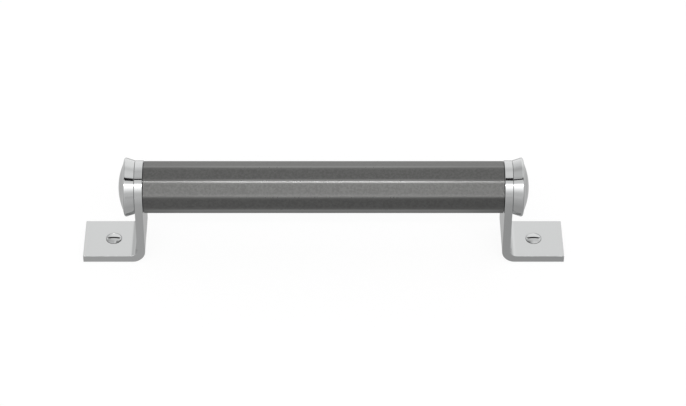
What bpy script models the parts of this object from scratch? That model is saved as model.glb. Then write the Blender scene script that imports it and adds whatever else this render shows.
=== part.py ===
"""Bracket pull handle for a drawer, cabinet or door.

A ten-sided grip bar is held between two brackets, each bent from flat strip. At each end
a threaded stud runs from the end cap, through the bracket's leg, into a brass insert in
the grip. A small pin beside the stud stops the grip turning. One slotted wood screw
holds each foot down. Nothing moves.

Metres, +Z up. X runs along the grip, and the hand comes from -Y and from above. The
origin is midway between the two foot screws, on the face that the feet are screwed to.
Each end is built in a frame of its own, whose +X points outwards along the grip.
"""

import math

import bmesh
import bpy

# Clearance between pieces that touch
GAP = 0.0003

# Brackets: flat strip with a half-round top, bent once to an outward foot
SCREW_CENTRES = 0.160
SCREW_TO_LEG = 0.0125
SCREW_TO_FOOT_END = 0.0111
AXIS_HEIGHT = 0.029
STRIP_WIDTH = 0.020
STRIP_THICKNESS = 0.003
INSIDE_BEND_RADIUS = 0.0022
STRIP_EDGE_ROUND = 0.00015

# Grip bar: a regular prism, one corner up, with softened arrises
GRIP_SIDES = 10
GRIP_ACROSS_CORNERS = 0.01976
ARRIS_RADIUS = 0.0015
GRIP_END_CHAMFER = 0.0002

# End caps: turned, with a flared side, a rounded rim, a shoulder and a low dome
CAP_BASE_OVERHANG = 0.00005
CAP_FLARE = 0.001
CAP_RIM_HEIGHT = 0.00315
CAP_RIM_ROUND = 0.0007
CAP_SHOULDER_WIDTH = 0.00225
CAP_SHOULDER_RISE = 0.0011
CAP_DOME_RISE = 0.0018
CAP_CROWN_WALL = 0.0018

# Studs, brass inserts and locating pins, hidden inside each end
STUD_DIAMETER = 0.005
STUD_CHAMFER = 0.0004
INSERT_WALL = 0.0012
INSERT_LENGTH = 0.012
INSERT_GROOVE_WIDTH = 0.0016
INSERT_GROOVE_DEPTH = 0.0004
BORE_RELIEF = 0.001
PIN_DIAMETER = 0.002
PIN_IN_GRIP = 0.006
PIN_CHAMFER = 0.0002

# Foot screws: slotted, with a raised countersunk head
HEAD_DIAMETER = 0.0063
HEAD_RISE = 0.00035
HEAD_LAND = 0.00015
SHANK_DIAMETER = 0.0035
SCREW_LENGTH = 0.012
POINT_LENGTH = 0.003
SLOT_WIDTH = 0.0008
SLOT_DEPTH = 0.0011
SLOT_LENGTH = 0.0048

# Facets on the round shapes
CAP_STEPS = 56
SMALL_STEPS = 32
BEND_STEPS = 10
TOP_STEPS = 28
ARRIS_STEPS = 4
EDGE_STEPS = 2
RIM_STEPS = 5
DOME_STEPS = 8
SHARP_ANGLE = math.radians(30)
CUT_PAST = 0.002

# Finishes: colour (linear), metallic, roughness
POLISHED_CHROME = ("polished_chrome", (0.55, 0.556, 0.554), 1.0, 0.06)
GRAPHITE_COMPOSITE = ("graphite_composite", (0.105, 0.105, 0.104), 0.0, 0.45)
MACHINED_BRASS = ("machined_brass", (0.66, 0.46, 0.18), 1.0, 0.3)
ZINC_STEEL = ("zinc_plated_steel", (0.52, 0.53, 0.54), 1.0, 0.35)

# Places along X, measured outwards from the middle
LEG_INNER = SCREW_CENTRES / 2 - SCREW_TO_LEG
LEG_OUTER = LEG_INNER + STRIP_THICKNESS
FOOT_END = SCREW_CENTRES / 2 + SCREW_TO_FOOT_END
GRIP_END = LEG_INNER - GAP
CAP_BASE = LEG_OUTER + GAP

# Radii that follow from the sizes above
GRIP_RADIUS = GRIP_ACROSS_CORNERS / 2
GRIP_INRADIUS = GRIP_RADIUS * math.cos(math.pi / GRIP_SIDES)
STUD_HOLE_RADIUS = STUD_DIAMETER / 2 + GAP
INSERT_RADIUS = STUD_HOLE_RADIUS + INSERT_WALL
INSERT_BORE_RADIUS = INSERT_RADIUS + GAP
PIN_HOLE_RADIUS = PIN_DIAMETER / 2 + GAP
PIN_HEIGHT = AXIS_HEIGHT - (INSERT_BORE_RADIUS + GRIP_INRADIUS) / 2
CAP_BORE_DEPTH = CAP_RIM_HEIGHT + CAP_SHOULDER_RISE + CAP_DOME_RISE - CAP_CROWN_WALL


def clear_scene():
    for obj in list(bpy.data.objects):
        bpy.data.objects.remove(obj, do_unlink=True)


def new_collection(name):
    collection = bpy.data.collections.new(name)
    bpy.context.scene.collection.children.link(collection)
    return collection


def material(name, finish):
    """A plain Principled material for one piece."""
    finish_name, colour, metallic, roughness = finish
    made = bpy.data.materials.new(f"{name}_{finish_name}")
    made.use_nodes = True
    shader = made.node_tree.nodes["Principled BSDF"]
    shader.inputs["Base Color"].default_value = (*colour, 1.0)
    shader.inputs["Metallic"].default_value = metallic
    shader.inputs["Roughness"].default_value = roughness
    made.diffuse_color = (*colour, 1.0)
    return made


def add_object(name, collection, mesh, parent=None):
    """Puts a bmesh into a new object and frees the bmesh."""
    data = bpy.data.meshes.new(name)
    mesh.to_mesh(data)
    mesh.free()
    obj = bpy.data.objects.new(name, data)
    collection.objects.link(obj)
    obj.parent = parent
    return obj


def as_cutter(obj):
    obj.hide_render = True
    obj.display_type = "WIRE"
    return obj


def cut(obj, cutter, operation="DIFFERENCE"):
    boolean = obj.modifiers.new(cutter.name, "BOOLEAN")
    boolean.operation = operation
    boolean.solver = "EXACT"
    boolean.object = cutter


def finish_piece(obj, finish):
    """Applies the modifiers, shades round faces smooth up to the real edges, and paints."""
    graph = bpy.context.evaluated_depsgraph_get()
    made = bpy.data.meshes.new_from_object(obj.evaluated_get(graph))
    obj.modifiers.clear()
    obj.data = made
    made.name = obj.name
    made.shade_smooth()
    made.set_sharp_from_angle(angle=SHARP_ANGLE)
    made.materials.clear()
    made.materials.append(material(obj.name, finish))
    return obj


def arc(centre, radius, start, end, steps):
    """Points on a circle from one angle to another, in degrees, both ends included."""
    points = []
    for i in range(steps + 1):
        angle = math.radians(start + (end - start) * i / steps)
        across = centre[0] + radius * math.cos(angle)
        up = centre[1] + radius * math.sin(angle)
        points.append((across, up))
    return points


def turned(name, collection, profile, steps, parent=None):
    """A solid turned about its own Z from (radius, height) points down its outer side.

    A profile that starts on the axis ends on it, and any other is a closed loop."""
    mesh = bmesh.new()
    points = [mesh.verts.new((radius, 0, height)) for radius, height in profile]
    for first, second in zip(points, points[1:]):
        mesh.edges.new((first, second))
    if profile[0][0] > 0:
        mesh.edges.new((points[-1], points[0]))
    obj = add_object(name, collection, mesh, parent)
    screw = obj.modifiers.new("turn", "SCREW")
    screw.steps = steps
    screw.render_steps = steps
    screw.use_merge_vertices = True
    screw.merge_threshold = 0.00001
    return obj


def along_x(obj, x, z):
    """Lays a turned piece along +X, with its own zero height at x."""
    obj.rotation_euler = (0, math.pi / 2, 0)
    obj.location = (x, 0, z)
    return obj


def rod_profile(radius, length, chamfer):
    return [
        (0, length),
        (radius - chamfer, length),
        (radius, length - chamfer),
        (radius, chamfer),
        (radius - chamfer, 0),
        (0, 0),
    ]


def drill(name, collection, radius, start, end, z, parent=None):
    """A cutter for a round hole along X, from x = start to x = end."""
    mesh = bmesh.new()
    bmesh.ops.create_cone(
        mesh, cap_ends=True, segments=SMALL_STEPS, radius1=radius, radius2=radius, depth=end - start
    )
    obj = add_object(name, collection, mesh, parent)
    return as_cutter(along_x(obj, (start + end) / 2, z))


def outline_template(name, collection, outline, depth, parent):
    """A cutter with this outline in YZ, extruded along X and centred on its origin."""
    curve = bpy.data.curves.new(name, "CURVE")
    curve.dimensions = "2D"
    curve.fill_mode = "BOTH"
    curve.extrude = depth / 2
    spline = curve.splines.new("POLY")
    spline.points.add(len(outline) - 1)
    for point, (y, z) in zip(spline.points, outline):
        point.co = (y, z, 0, 1)
    spline.use_cyclic_u = True
    flat = bpy.data.objects.new(name, curve)
    collection.objects.link(flat)
    graph = bpy.context.evaluated_depsgraph_get()
    data = bpy.data.meshes.new_from_object(flat.evaluated_get(graph))
    bpy.data.objects.remove(flat)
    mesh = bmesh.new()
    mesh.from_mesh(data)
    bmesh.ops.remove_doubles(mesh, verts=mesh.verts, dist=0.00001)
    bmesh.ops.recalc_face_normals(mesh, faces=mesh.faces)
    obj = add_object(name, collection, mesh, parent)
    obj.rotation_euler = (math.pi / 2, 0, math.pi / 2)
    return as_cutter(obj)


def build_strip(name, collection, parent):
    """Strip as it leaves the bend: its outer face as a surface, with Solidify for the wall."""
    outside_bend = STRIP_THICKNESS + INSIDE_BEND_RADIUS
    bend_centre = (LEG_INNER + outside_bend, outside_bend)
    path = [(LEG_INNER, AXIS_HEIGHT + STRIP_WIDTH)]
    path += arc(bend_centre, outside_bend, 180, 270, BEND_STEPS)
    path.append((FOOT_END, 0))
    mesh = bmesh.new()
    line = [mesh.verts.new((x, -STRIP_WIDTH, z)) for x, z in path]
    edges = [mesh.edges.new(pair) for pair in zip(line, line[1:])]
    sheet = bmesh.ops.extrude_edge_only(mesh, edges=edges)["geom"]
    far_side = [item for item in sheet if isinstance(item, bmesh.types.BMVert)]
    bmesh.ops.translate(mesh, verts=far_side, vec=(0, 2 * STRIP_WIDTH, 0))
    obj = add_object(name, collection, mesh, parent)
    wall = obj.modifiers.new("thickness", "SOLIDIFY")
    wall.thickness = STRIP_THICKNESS
    wall.offset = -1
    wall.use_even_offset = True
    return obj


def build_bracket(side, collection, cutters, parent):
    """One bracket: bent strip, trimmed to width and to a half-round top, then drilled."""
    name = f"{side}_bracket"
    bracket = build_strip(name, collection, parent)
    half_width = STRIP_WIDTH / 2
    outline = [(-half_width, -CUT_PAST), (half_width, -CUT_PAST)]
    outline += arc((0, AXIS_HEIGHT), half_width, 0, 180, TOP_STEPS)
    reach = FOOT_END - LEG_INNER + 2 * CUT_PAST
    template = outline_template(f"{name}_outline", cutters, outline, reach, parent)
    template.location.x = (LEG_INNER + FOOT_END) / 2
    cut(bracket, template, "INTERSECT")
    edges = bracket.modifiers.new("eased edges", "BEVEL")
    edges.width = STRIP_EDGE_ROUND
    edges.segments = EDGE_STEPS
    edges.limit_method = "ANGLE"
    edges.angle_limit = SHARP_ANGLE
    through = (LEG_INNER - CUT_PAST, LEG_OUTER + CUT_PAST)
    holes = (("stud_hole", STUD_HOLE_RADIUS, AXIS_HEIGHT), ("pin_hole", PIN_HOLE_RADIUS, PIN_HEIGHT))
    for hole, radius, height in holes:
        cut(bracket, drill(f"{name}_{hole}", cutters, radius, *through, height, parent))
    cut(bracket, build_countersink(side, cutters, parent))
    return finish_piece(bracket, POLISHED_CHROME)


def build_countersink(side, cutters, parent):
    """The seat in the foot: the screw head's own cone and shank, all GAP larger."""
    head_radius = HEAD_DIAMETER / 2
    shank_radius = SHANK_DIAMETER / 2
    cone_top = -HEAD_LAND - GAP * math.tan(math.radians(22.5))
    profile = [
        (0, CUT_PAST),
        (head_radius + GAP, CUT_PAST),
        (head_radius + GAP, cone_top),
        (shank_radius + GAP, cone_top - (head_radius - shank_radius)),
        (shank_radius + GAP, -STRIP_THICKNESS - CUT_PAST),
        (0, -STRIP_THICKNESS - CUT_PAST),
    ]
    seat = turned(f"{side}_countersink", cutters, profile, SMALL_STEPS, parent)
    seat.location = (SCREW_CENTRES / 2, 0, STRIP_THICKNESS)
    return as_cutter(seat)


def build_foot_screw(side, collection, cutters, parent):
    """Raised countersunk head, plain shank and point, with the slot along the handle.

    The slot is sunk by a small round saw, so it runs out inside the head at both ends."""
    name = f"{side}_foot_screw"
    head_radius = HEAD_DIAMETER / 2
    shank_radius = SHANK_DIAMETER / 2
    crown_radius = (head_radius**2 + HEAD_RISE**2) / (2 * HEAD_RISE)
    edge_angle = math.degrees(math.acos(head_radius / crown_radius))
    profile = arc((0, HEAD_RISE - crown_radius), crown_radius, 90, edge_angle, DOME_STEPS)
    profile[0] = (0, HEAD_RISE)
    profile += [
        (head_radius, -HEAD_LAND),
        (shank_radius, -HEAD_LAND - (head_radius - shank_radius)),
        (shank_radius, POINT_LENGTH - SCREW_LENGTH),
        (0, -SCREW_LENGTH),
    ]
    screw = turned(name, collection, profile, SMALL_STEPS, parent)
    screw.location = (SCREW_CENTRES / 2, 0, STRIP_THICKNESS)
    half_slot = SLOT_LENGTH / 2
    crown_drop = crown_radius - math.sqrt(crown_radius**2 - half_slot**2)
    end_height = SLOT_DEPTH - crown_drop
    saw_radius = (half_slot**2 + end_height**2) / (2 * end_height)
    saw_profile = [
        (0, SLOT_WIDTH / 2),
        (saw_radius, SLOT_WIDTH / 2),
        (saw_radius, -SLOT_WIDTH / 2),
        (0, -SLOT_WIDTH / 2),
    ]
    saw = as_cutter(turned(f"{name}_slot", cutters, saw_profile, CAP_STEPS, parent))
    saw.rotation_euler = (math.pi / 2, 0, 0)
    slot_floor = STRIP_THICKNESS + HEAD_RISE - SLOT_DEPTH
    saw.location = (SCREW_CENTRES / 2, 0, slot_floor + saw_radius)
    cut(screw, saw)
    return finish_piece(screw, POLISHED_CHROME)


def tangent_angle(point, centre, radius, turn):
    """Angle, in degrees, at which a line from a point touches a circle on one side."""
    across = point[0] - centre[0]
    up = point[1] - centre[1]
    lean = math.acos(radius / math.hypot(across, up))
    return math.degrees(math.atan2(up, across) + turn * lean)


def build_end_cap(side, collection, parent):
    """Turned cap: its flare and shoulder are straight lines that touch the rim's round."""
    base_radius = STRIP_WIDTH / 2 + CAP_BASE_OVERHANG
    rim_radius = base_radius + CAP_FLARE
    dome_radius = rim_radius - CAP_SHOULDER_WIDTH
    rim_centre = (rim_radius - CAP_RIM_ROUND, CAP_RIM_HEIGHT)
    shoulder = (dome_radius, CAP_RIM_HEIGHT + CAP_SHOULDER_RISE)
    crown_radius = (dome_radius**2 + CAP_DOME_RISE**2) / (2 * CAP_DOME_RISE)
    crown_centre = (0, shoulder[1] + CAP_DOME_RISE - crown_radius)
    edge_angle = math.degrees(math.acos(dome_radius / crown_radius))
    profile = arc(crown_centre, crown_radius, 90, edge_angle, DOME_STEPS)
    profile[0] = (0, shoulder[1] + CAP_DOME_RISE)
    rim_start = tangent_angle(shoulder, rim_centre, CAP_RIM_ROUND, -1)
    rim_end = tangent_angle((base_radius, 0), rim_centre, CAP_RIM_ROUND, 1)
    profile += arc(rim_centre, CAP_RIM_ROUND, rim_start, rim_end, RIM_STEPS)
    profile += [
        (base_radius, 0),
        (STUD_HOLE_RADIUS, 0),
        (STUD_HOLE_RADIUS, CAP_BORE_DEPTH),
        (0, CAP_BORE_DEPTH),
    ]
    cap = turned(f"{side}_end_cap", collection, profile, CAP_STEPS, parent)
    return finish_piece(along_x(cap, CAP_BASE, AXIS_HEIGHT), POLISHED_CHROME)


def build_stud(side, collection, parent):
    """Threaded stud, from the bottom of the cap's bore to the insert's inner end."""
    inner_end = GRIP_END - INSERT_LENGTH
    length = CAP_BASE + CAP_BORE_DEPTH - GAP - inner_end
    profile = rod_profile(STUD_DIAMETER / 2, length, STUD_CHAMFER)
    stud = turned(f"{side}_stud", collection, profile, SMALL_STEPS, parent)
    return finish_piece(along_x(stud, inner_end, AXIS_HEIGHT), ZINC_STEEL)


def build_insert(side, collection, parent):
    """Brass sleeve flush with the grip's end, with a groove that locks it in the bond."""
    groove_top = (INSERT_LENGTH + INSERT_GROOVE_WIDTH) / 2
    groove_bottom = (INSERT_LENGTH - INSERT_GROOVE_WIDTH) / 2
    groove_radius = INSERT_RADIUS - INSERT_GROOVE_DEPTH
    profile = [
        (INSERT_RADIUS, INSERT_LENGTH),
        (INSERT_RADIUS, groove_top),
        (groove_radius, groove_top),
        (groove_radius, groove_bottom),
        (INSERT_RADIUS, groove_bottom),
        (INSERT_RADIUS, 0),
        (STUD_HOLE_RADIUS, 0),
        (STUD_HOLE_RADIUS, INSERT_LENGTH),
    ]
    insert = turned(f"{side}_insert", collection, profile, SMALL_STEPS, parent)
    return finish_piece(along_x(insert, GRIP_END - INSERT_LENGTH, AXIS_HEIGHT), MACHINED_BRASS)


def build_locating_pin(side, collection, parent):
    """Dowel through the leg, flush with its outer face, and on into the grip."""
    inner_end = GRIP_END - PIN_IN_GRIP
    profile = rod_profile(PIN_DIAMETER / 2, LEG_OUTER - inner_end, PIN_CHAMFER)
    pin = turned(f"{side}_locating_pin", collection, profile, SMALL_STEPS, parent)
    return finish_piece(along_x(pin, inner_end, PIN_HEIGHT), ZINC_STEEL)


def build_grip(collection, cutters, ends):
    """Ten-sided bar with rounded arrises, and a bore and a pin hole in each end."""
    mesh = bmesh.new()
    bmesh.ops.create_cone(
        mesh,
        cap_ends=True,
        segments=GRIP_SIDES,
        radius1=GRIP_RADIUS,
        radius2=GRIP_RADIUS,
        depth=2 * GRIP_END,
    )
    arrises = [edge for edge in mesh.edges if abs(edge.verts[0].co.z - edge.verts[1].co.z) > GRIP_END]
    bmesh.ops.bevel(
        mesh,
        geom=arrises,
        offset=ARRIS_RADIUS * math.tan(math.pi / GRIP_SIDES),
        offset_type="OFFSET",
        segments=ARRIS_STEPS,
        profile=0.5,
        affect="EDGES",
    )
    grip = add_object("grip_bar", collection, mesh)
    grip.rotation_euler = (math.pi / 2, 0, math.pi / 2)
    grip.location.z = AXIS_HEIGHT
    chamfer = grip.modifiers.new("end chamfer", "BEVEL")
    chamfer.width = GRIP_END_CHAMFER
    chamfer.segments = EDGE_STEPS
    chamfer.limit_method = "ANGLE"
    chamfer.angle_limit = math.radians(60)
    insert_bottom = GRIP_END - INSERT_LENGTH - BORE_RELIEF
    pin_bottom = GRIP_END - PIN_IN_GRIP - GAP
    for side, end in ends.items():
        bore = (INSERT_BORE_RADIUS, insert_bottom, GRIP_END + CUT_PAST, AXIS_HEIGHT)
        cut(grip, drill(f"{side}_insert_bore", cutters, *bore, end))
        pin_hole = (PIN_HOLE_RADIUS, pin_bottom, GRIP_END + CUT_PAST, PIN_HEIGHT)
        cut(grip, drill(f"{side}_grip_pin_hole", cutters, *pin_hole, end))
    return finish_piece(grip, GRAPHITE_COMPOSITE)


def build_end(side, end, collection, cutters):
    """Everything at one end, in that end's own frame."""
    build_bracket(side, collection, cutters, end)
    build_end_cap(side, collection, end)
    build_stud(side, collection, end)
    build_insert(side, collection, end)
    build_locating_pin(side, collection, end)
    build_foot_screw(side, collection, cutters, end)


def build_handle():
    clear_scene()
    collection = new_collection("bracket_pull_handle")
    cutters = new_collection("cutters")
    ends = {}
    for side, turn in (("left", math.pi), ("right", 0)):
        end = bpy.data.objects.new(f"{side}_end", None)
        end.empty_display_size = STRIP_WIDTH / 2
        end.rotation_euler.z = turn
        collection.objects.link(end)
        ends[side] = end
    build_grip(collection, cutters, ends)
    for side, end in ends.items():
        build_end(side, end, collection, cutters)


build_handle()
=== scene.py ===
import math

import bmesh
import bpy
from mathutils import Matrix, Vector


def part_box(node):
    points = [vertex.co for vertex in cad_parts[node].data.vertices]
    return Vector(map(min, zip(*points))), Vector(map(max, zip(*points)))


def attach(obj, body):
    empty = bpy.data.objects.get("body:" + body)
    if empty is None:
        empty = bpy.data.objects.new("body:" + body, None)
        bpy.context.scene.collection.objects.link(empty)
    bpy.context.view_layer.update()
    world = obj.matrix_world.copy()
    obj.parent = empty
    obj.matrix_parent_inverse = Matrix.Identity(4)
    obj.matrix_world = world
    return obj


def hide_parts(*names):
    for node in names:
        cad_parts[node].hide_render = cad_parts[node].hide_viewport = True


# A pull handle for a drawer, cabinet or door, dressed piece by piece in the order in which it
# is put together. Metres, +Z up, X along the grip. Each end piece is made in its right-hand
# place, and the left-hand one is the same piece turned half round about Z.

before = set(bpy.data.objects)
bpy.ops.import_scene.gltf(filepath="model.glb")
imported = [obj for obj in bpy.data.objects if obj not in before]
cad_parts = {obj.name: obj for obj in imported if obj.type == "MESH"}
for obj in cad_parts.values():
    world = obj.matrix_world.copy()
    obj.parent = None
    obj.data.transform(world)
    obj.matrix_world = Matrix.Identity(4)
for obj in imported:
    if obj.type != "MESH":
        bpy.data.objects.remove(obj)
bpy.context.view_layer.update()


# Grip bar
# One straight ten-sided bar, cast in resin that is filled with graphite and metal powder. Its
# faces were ground flat and its arrises rounded for the hand. Each end is bored for a brass
# insert and drilled for a locating pin.

MM = 0.001
SIDES = {"left": Matrix.Rotation(math.pi, 4, "Z"), "right": Matrix.Identity(4)}
grip_low, grip_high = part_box("grip_bar")
insert_low, insert_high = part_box("right_insert")
pin_low, pin_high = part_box("right_locating_pin")
AXIS_HEIGHT = (grip_low.z + grip_high.z) / 2
GRIP_SIDES = 10
ARRIS_RADIUS = 1.5 * MM
ARRIS_TO_AXIS = (grip_high.z - grip_low.z) / 2
CORNER_TO_AXIS = ARRIS_TO_AXIS + ARRIS_RADIUS * (1 / math.cos(math.pi / GRIP_SIDES) - 1)
GRIP_END_ROUND = 0.15 * MM
ARRIS_STEPS = 13
GRIP_END_STEPS = 4
FIT = 0.3 * MM
SEAM = 0.15 * MM
INSERT_RADIUS = (insert_high.z - insert_low.z) / 2
BORE_RELIEF = 1.0 * MM
INSERT_BORE_END = insert_low.x - BORE_RELIEF
PIN_RADIUS = (pin_high.z - pin_low.z) / 2
PIN_HEIGHT = (pin_low.z + pin_high.z) / 2
DRILL_STEPS = 48
CREASE_ANGLE = math.radians(40)

COMPOSITE_BODY = "#5F5F5E"
COMPOSITE_FLAKE = "#696968"
# Lighter tone of the arrises, partly wear and partly painted highlight
COMPOSITE_WORN_AND_LIT = "#7D7D7C"
# Painted highlight on the crest of the upper front arris
COMPOSITE_ARRIS_HIGHLIGHT = "#929291"
CLUMP_MM = 0.9
FLAKE_MM = 0.35
# The painted highlights and the wear of the arrises fade from here to the bar's ends
FADE_TO_ENDS_FROM = 25 * MM
FADE_TO_ENDS_TO = 66 * MM


def linear(hex_colour):
    """An sRGB colour such as #808080 as the linear colour that a shader takes."""
    channels = [int(hex_colour[i : i + 2], 16) / 255 for i in (1, 3, 5)]
    straight = [c / 12.92 if c <= 0.04045 else ((c + 0.055) / 1.055) ** 2.4 for c in channels]
    return (*straight, 1.0)


def per_mm(size):
    """The texture scale at which one cell of a pattern is this many millimetres across."""
    return 1 / (size * MM)


def add_node(tree, kind, inputs=None, **settings):
    """Adds a node. Each input, by name or number, takes a plain value, a socket or a node."""
    node = tree.nodes.new(kind)
    for name, value in settings.items():
        setattr(node, name, value)
    for key, value in (inputs or {}).items():
        if isinstance(value, bpy.types.Node):
            value = next(socket for socket in value.outputs if socket.enabled)
        if isinstance(value, bpy.types.NodeSocket):
            tree.links.new(value, node.inputs[key])
        else:
            node.inputs[key].default_value = value
    return node


def calc(tree, operation, *values):
    """One step of arithmetic on plain values, sockets or nodes."""
    return add_node(tree, "ShaderNodeMath", dict(enumerate(values)), operation=operation)


def ease(tree, value, start, end, low=0.0, high=1.0):
    """A smooth rise or fall from low to high while the value goes from start to end."""
    ends = {"Value": value, "From Min": start, "From Max": end, "To Min": low, "To Max": high}
    return add_node(tree, "ShaderNodeMapRange", ends, interpolation_type="SMOOTHSTEP")


def blend_colours(tree, share, first, second):
    """Mixes two colours, which are inputs 6 and 7 and output 2 of the Mix node."""
    colours = {"Factor": share, 6: first, 7: second}
    return add_node(tree, "ShaderNodeMix", colours, data_type="RGBA").outputs[2]


def new_material(name, constants):
    """A Principled material whose constant values sit on the shader's own sockets."""
    made = bpy.data.materials.new(name)
    made.use_nodes = True
    shader = made.node_tree.nodes["Principled BSDF"]
    for socket, value in constants.items():
        shader.inputs[socket].default_value = value
    return made, made.node_tree, shader


def wire_shader(tree, shader, colour, roughness, bump):
    """Leads a material's colour, roughness and bump to its shader."""
    tree.links.new(colour, shader.inputs["Base Color"])
    tree.links.new(roughness.outputs[0], shader.inputs["Roughness"])
    tree.links.new(bump.outputs["Normal"], shader.inputs["Normal"])


def new_shape_tree(name, inputs):
    """An empty Geometry Nodes tree with these named inputs, such as {"Length": "Float"}."""
    tree = bpy.data.node_groups.new(name, "GeometryNodeTree")
    tree.interface.new_socket("Geometry", in_out="OUTPUT", socket_type="NodeSocketGeometry")
    for size, kind in (inputs | {"Material": "Material"}).items():
        tree.interface.new_socket(size, in_out="INPUT", socket_type=f"NodeSocket{kind}")
    return tree, tree.nodes.new("NodeGroupInput").outputs


def end_shape_tree(tree, given, geometry):
    """Ends a shape tree with plain geometry in the given material."""
    real = add_node(tree, "GeometryNodeRealizeInstances", {"Geometry": geometry})
    ends = {"Geometry": real, "Material": given["Material"]}
    painted = add_node(tree, "GeometryNodeSetMaterial", ends)
    add_node(tree, "NodeGroupOutput", {"Geometry": painted})
    return tree


def new_piece(name, mesh=None):
    """A new object at the origin, which takes over a bmesh if it is given one."""
    data = bpy.data.meshes.new(name)
    if mesh is not None:
        mesh.to_mesh(data)
        mesh.free()
    obj = bpy.data.objects.new(name, data)
    bpy.context.scene.collection.objects.link(obj)
    return obj


def settle(obj):
    """Turns what the modifiers give into the object's own plain mesh."""
    graph = bpy.context.evaluated_depsgraph_get()
    made = bpy.data.meshes.new_from_object(obj.evaluated_get(graph))
    obj.modifiers.clear()
    obj.data = made
    return obj


def grow(name, tree, sizes):
    """Runs a shape tree with these sizes and keeps the result as a plain mesh."""
    obj = new_piece(name)
    nodes = obj.modifiers.new(tree.name, "NODES")
    nodes.node_group = tree
    for item in tree.interface.items_tree:
        if item.in_out == "INPUT":
            nodes[item.identifier] = sizes[item.name]
    return settle(obj)


def rod(radius, start, end, height):
    """A bmesh cylinder along X, as a drill leaves it."""
    mesh = bmesh.new()
    middle = Matrix.Translation(((start + end) / 2, 0, height))
    along_x = middle @ Matrix.Rotation(math.pi / 2, 4, "Y")
    size = {"radius1": radius, "radius2": radius, "depth": end - start, "matrix": along_x}
    bmesh.ops.create_cone(mesh, cap_ends=True, segments=DRILL_STEPS, **size)
    return mesh


def cut_away(obj, cutters):
    """Takes each bmesh cutter out of the object."""
    tools = [new_piece("cutter", cutter) for cutter in cutters]
    for tool in tools:
        boolean = obj.modifiers.new("cut", "BOOLEAN")
        boolean.object = tool
    settle(obj)
    for tool in tools:
        bpy.data.objects.remove(tool)
    return obj


def mark_worn_edges(obj, tight=0.25 * MM):
    """Stores 1 on the vertices of edges rounded tighter than this, where pieces wear first."""
    mesh = bmesh.new()
    mesh.from_mesh(obj.data)
    middle = {face: face.calc_center_median() for face in mesh.faces}
    worn = [0.0] * len(mesh.verts)
    for edge in mesh.edges:
        if len(edge.link_faces) == 2:
            first, second = edge.link_faces
            apart = (middle[first] - middle[second]).length
            if edge.calc_face_angle_signed(0) * tight > apart:
                worn[edge.verts[0].index] = worn[edge.verts[1].index] = 1.0
    mesh.free()
    stored = obj.data.attributes.new("worn_edge", "FLOAT", "POINT")
    stored.data.foreach_set("value", worn)


def finish_piece(obj, material, node):
    """Eases the normals, paints the piece, and lets it stand for its CAD node."""
    mark_worn_edges(obj)
    obj.data.shade_smooth()
    obj.data.set_sharp_from_angle(angle=CREASE_ANGLE)
    flat_faces = obj.modifiers.new("flat faces stay flat", "WEIGHTED_NORMAL")
    flat_faces.weight = 100
    flat_faces.keep_sharp = True
    settle(obj)
    obj.data.name = obj.name
    obj.data.materials.clear()
    obj.data.materials.append(material)
    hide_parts(node)
    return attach(obj, "root")


def faceted_bar_tree():
    """A regular prism along X, one corner up, with rounded arrises and rounded ends."""
    tree, given = new_shape_tree(
        "faceted_bar",
        {
            "Length": "Float",
            "Height": "Float",
            "Corner To Axis": "Float",
            "Sides": "Int",
            "Arris Radius": "Float",
            "Arris Steps": "Int",
            "End Round": "Float",
            "End Steps": "Int",
        },
    )
    corners = {"Resolution": given["Sides"], "Radius": given["Corner To Axis"]}
    polygon = add_node(tree, "GeometryNodeCurvePrimitiveCircle", corners)
    upright = {"Geometry": polygon, "Rotation": (0, 0, math.pi / 2)}
    section = add_node(tree, "GeometryNodeTransform", upright)
    arrises = {"Curve": section, "Count": given["Arris Steps"], "Radius": given["Arris Radius"]}
    rounded = add_node(tree, "GeometryNodeFilletCurve", arrises, mode="POLY")

    # The path's points stand close together in the quarter round at each end
    per_end = calc(tree, "ADD", given["End Steps"], 1)
    line = add_node(tree, "GeometryNodeCurvePrimitiveLine")
    count = {"Curve": line, "Count": calc(tree, "MULTIPLY", per_end, 2)}
    path = add_node(tree, "GeometryNodeResampleCurve", count)
    index = add_node(tree, "GeometryNodeInputIndex")
    from_middle = calc(tree, "SUBTRACT", index, calc(tree, "SUBTRACT", per_end, 0.5))
    past_middle = calc(tree, "ABSOLUTE", from_middle)
    from_end = calc(tree, "SUBTRACT", calc(tree, "SUBTRACT", per_end, 0.5), past_middle)
    quarters = calc(tree, "DIVIDE", from_end, given["End Steps"])
    angle = calc(tree, "MULTIPLY", quarters, math.pi / 2)
    off_end = calc(tree, "SUBTRACT", 1, calc(tree, "COSINE", angle))
    inset = calc(tree, "MULTIPLY", given["End Round"], off_end)
    reach = calc(tree, "SUBTRACT", calc(tree, "MULTIPLY", given["Length"], 0.5), inset)
    along = calc(tree, "MULTIPLY", calc(tree, "SIGN", from_middle), reach)
    place = add_node(tree, "ShaderNodeCombineXYZ", {"X": along, "Z": given["Height"]})
    shaped = add_node(tree, "GeometryNodeSetPosition", {"Geometry": path, "Position": place})
    off_side = calc(tree, "SUBTRACT", 1, calc(tree, "SINE", angle))
    drop = calc(tree, "MULTIPLY", given["End Round"], off_side)
    full = calc(tree, "SUBTRACT", 1, calc(tree, "DIVIDE", drop, given["Corner To Axis"]))
    sweep = {"Curve": shaped, "Profile Curve": rounded, "Scale": full, "Fill Caps": True}
    bar = add_node(tree, "GeometryNodeCurveToMesh", sweep)
    return end_shape_tree(tree, given, bar)


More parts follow.
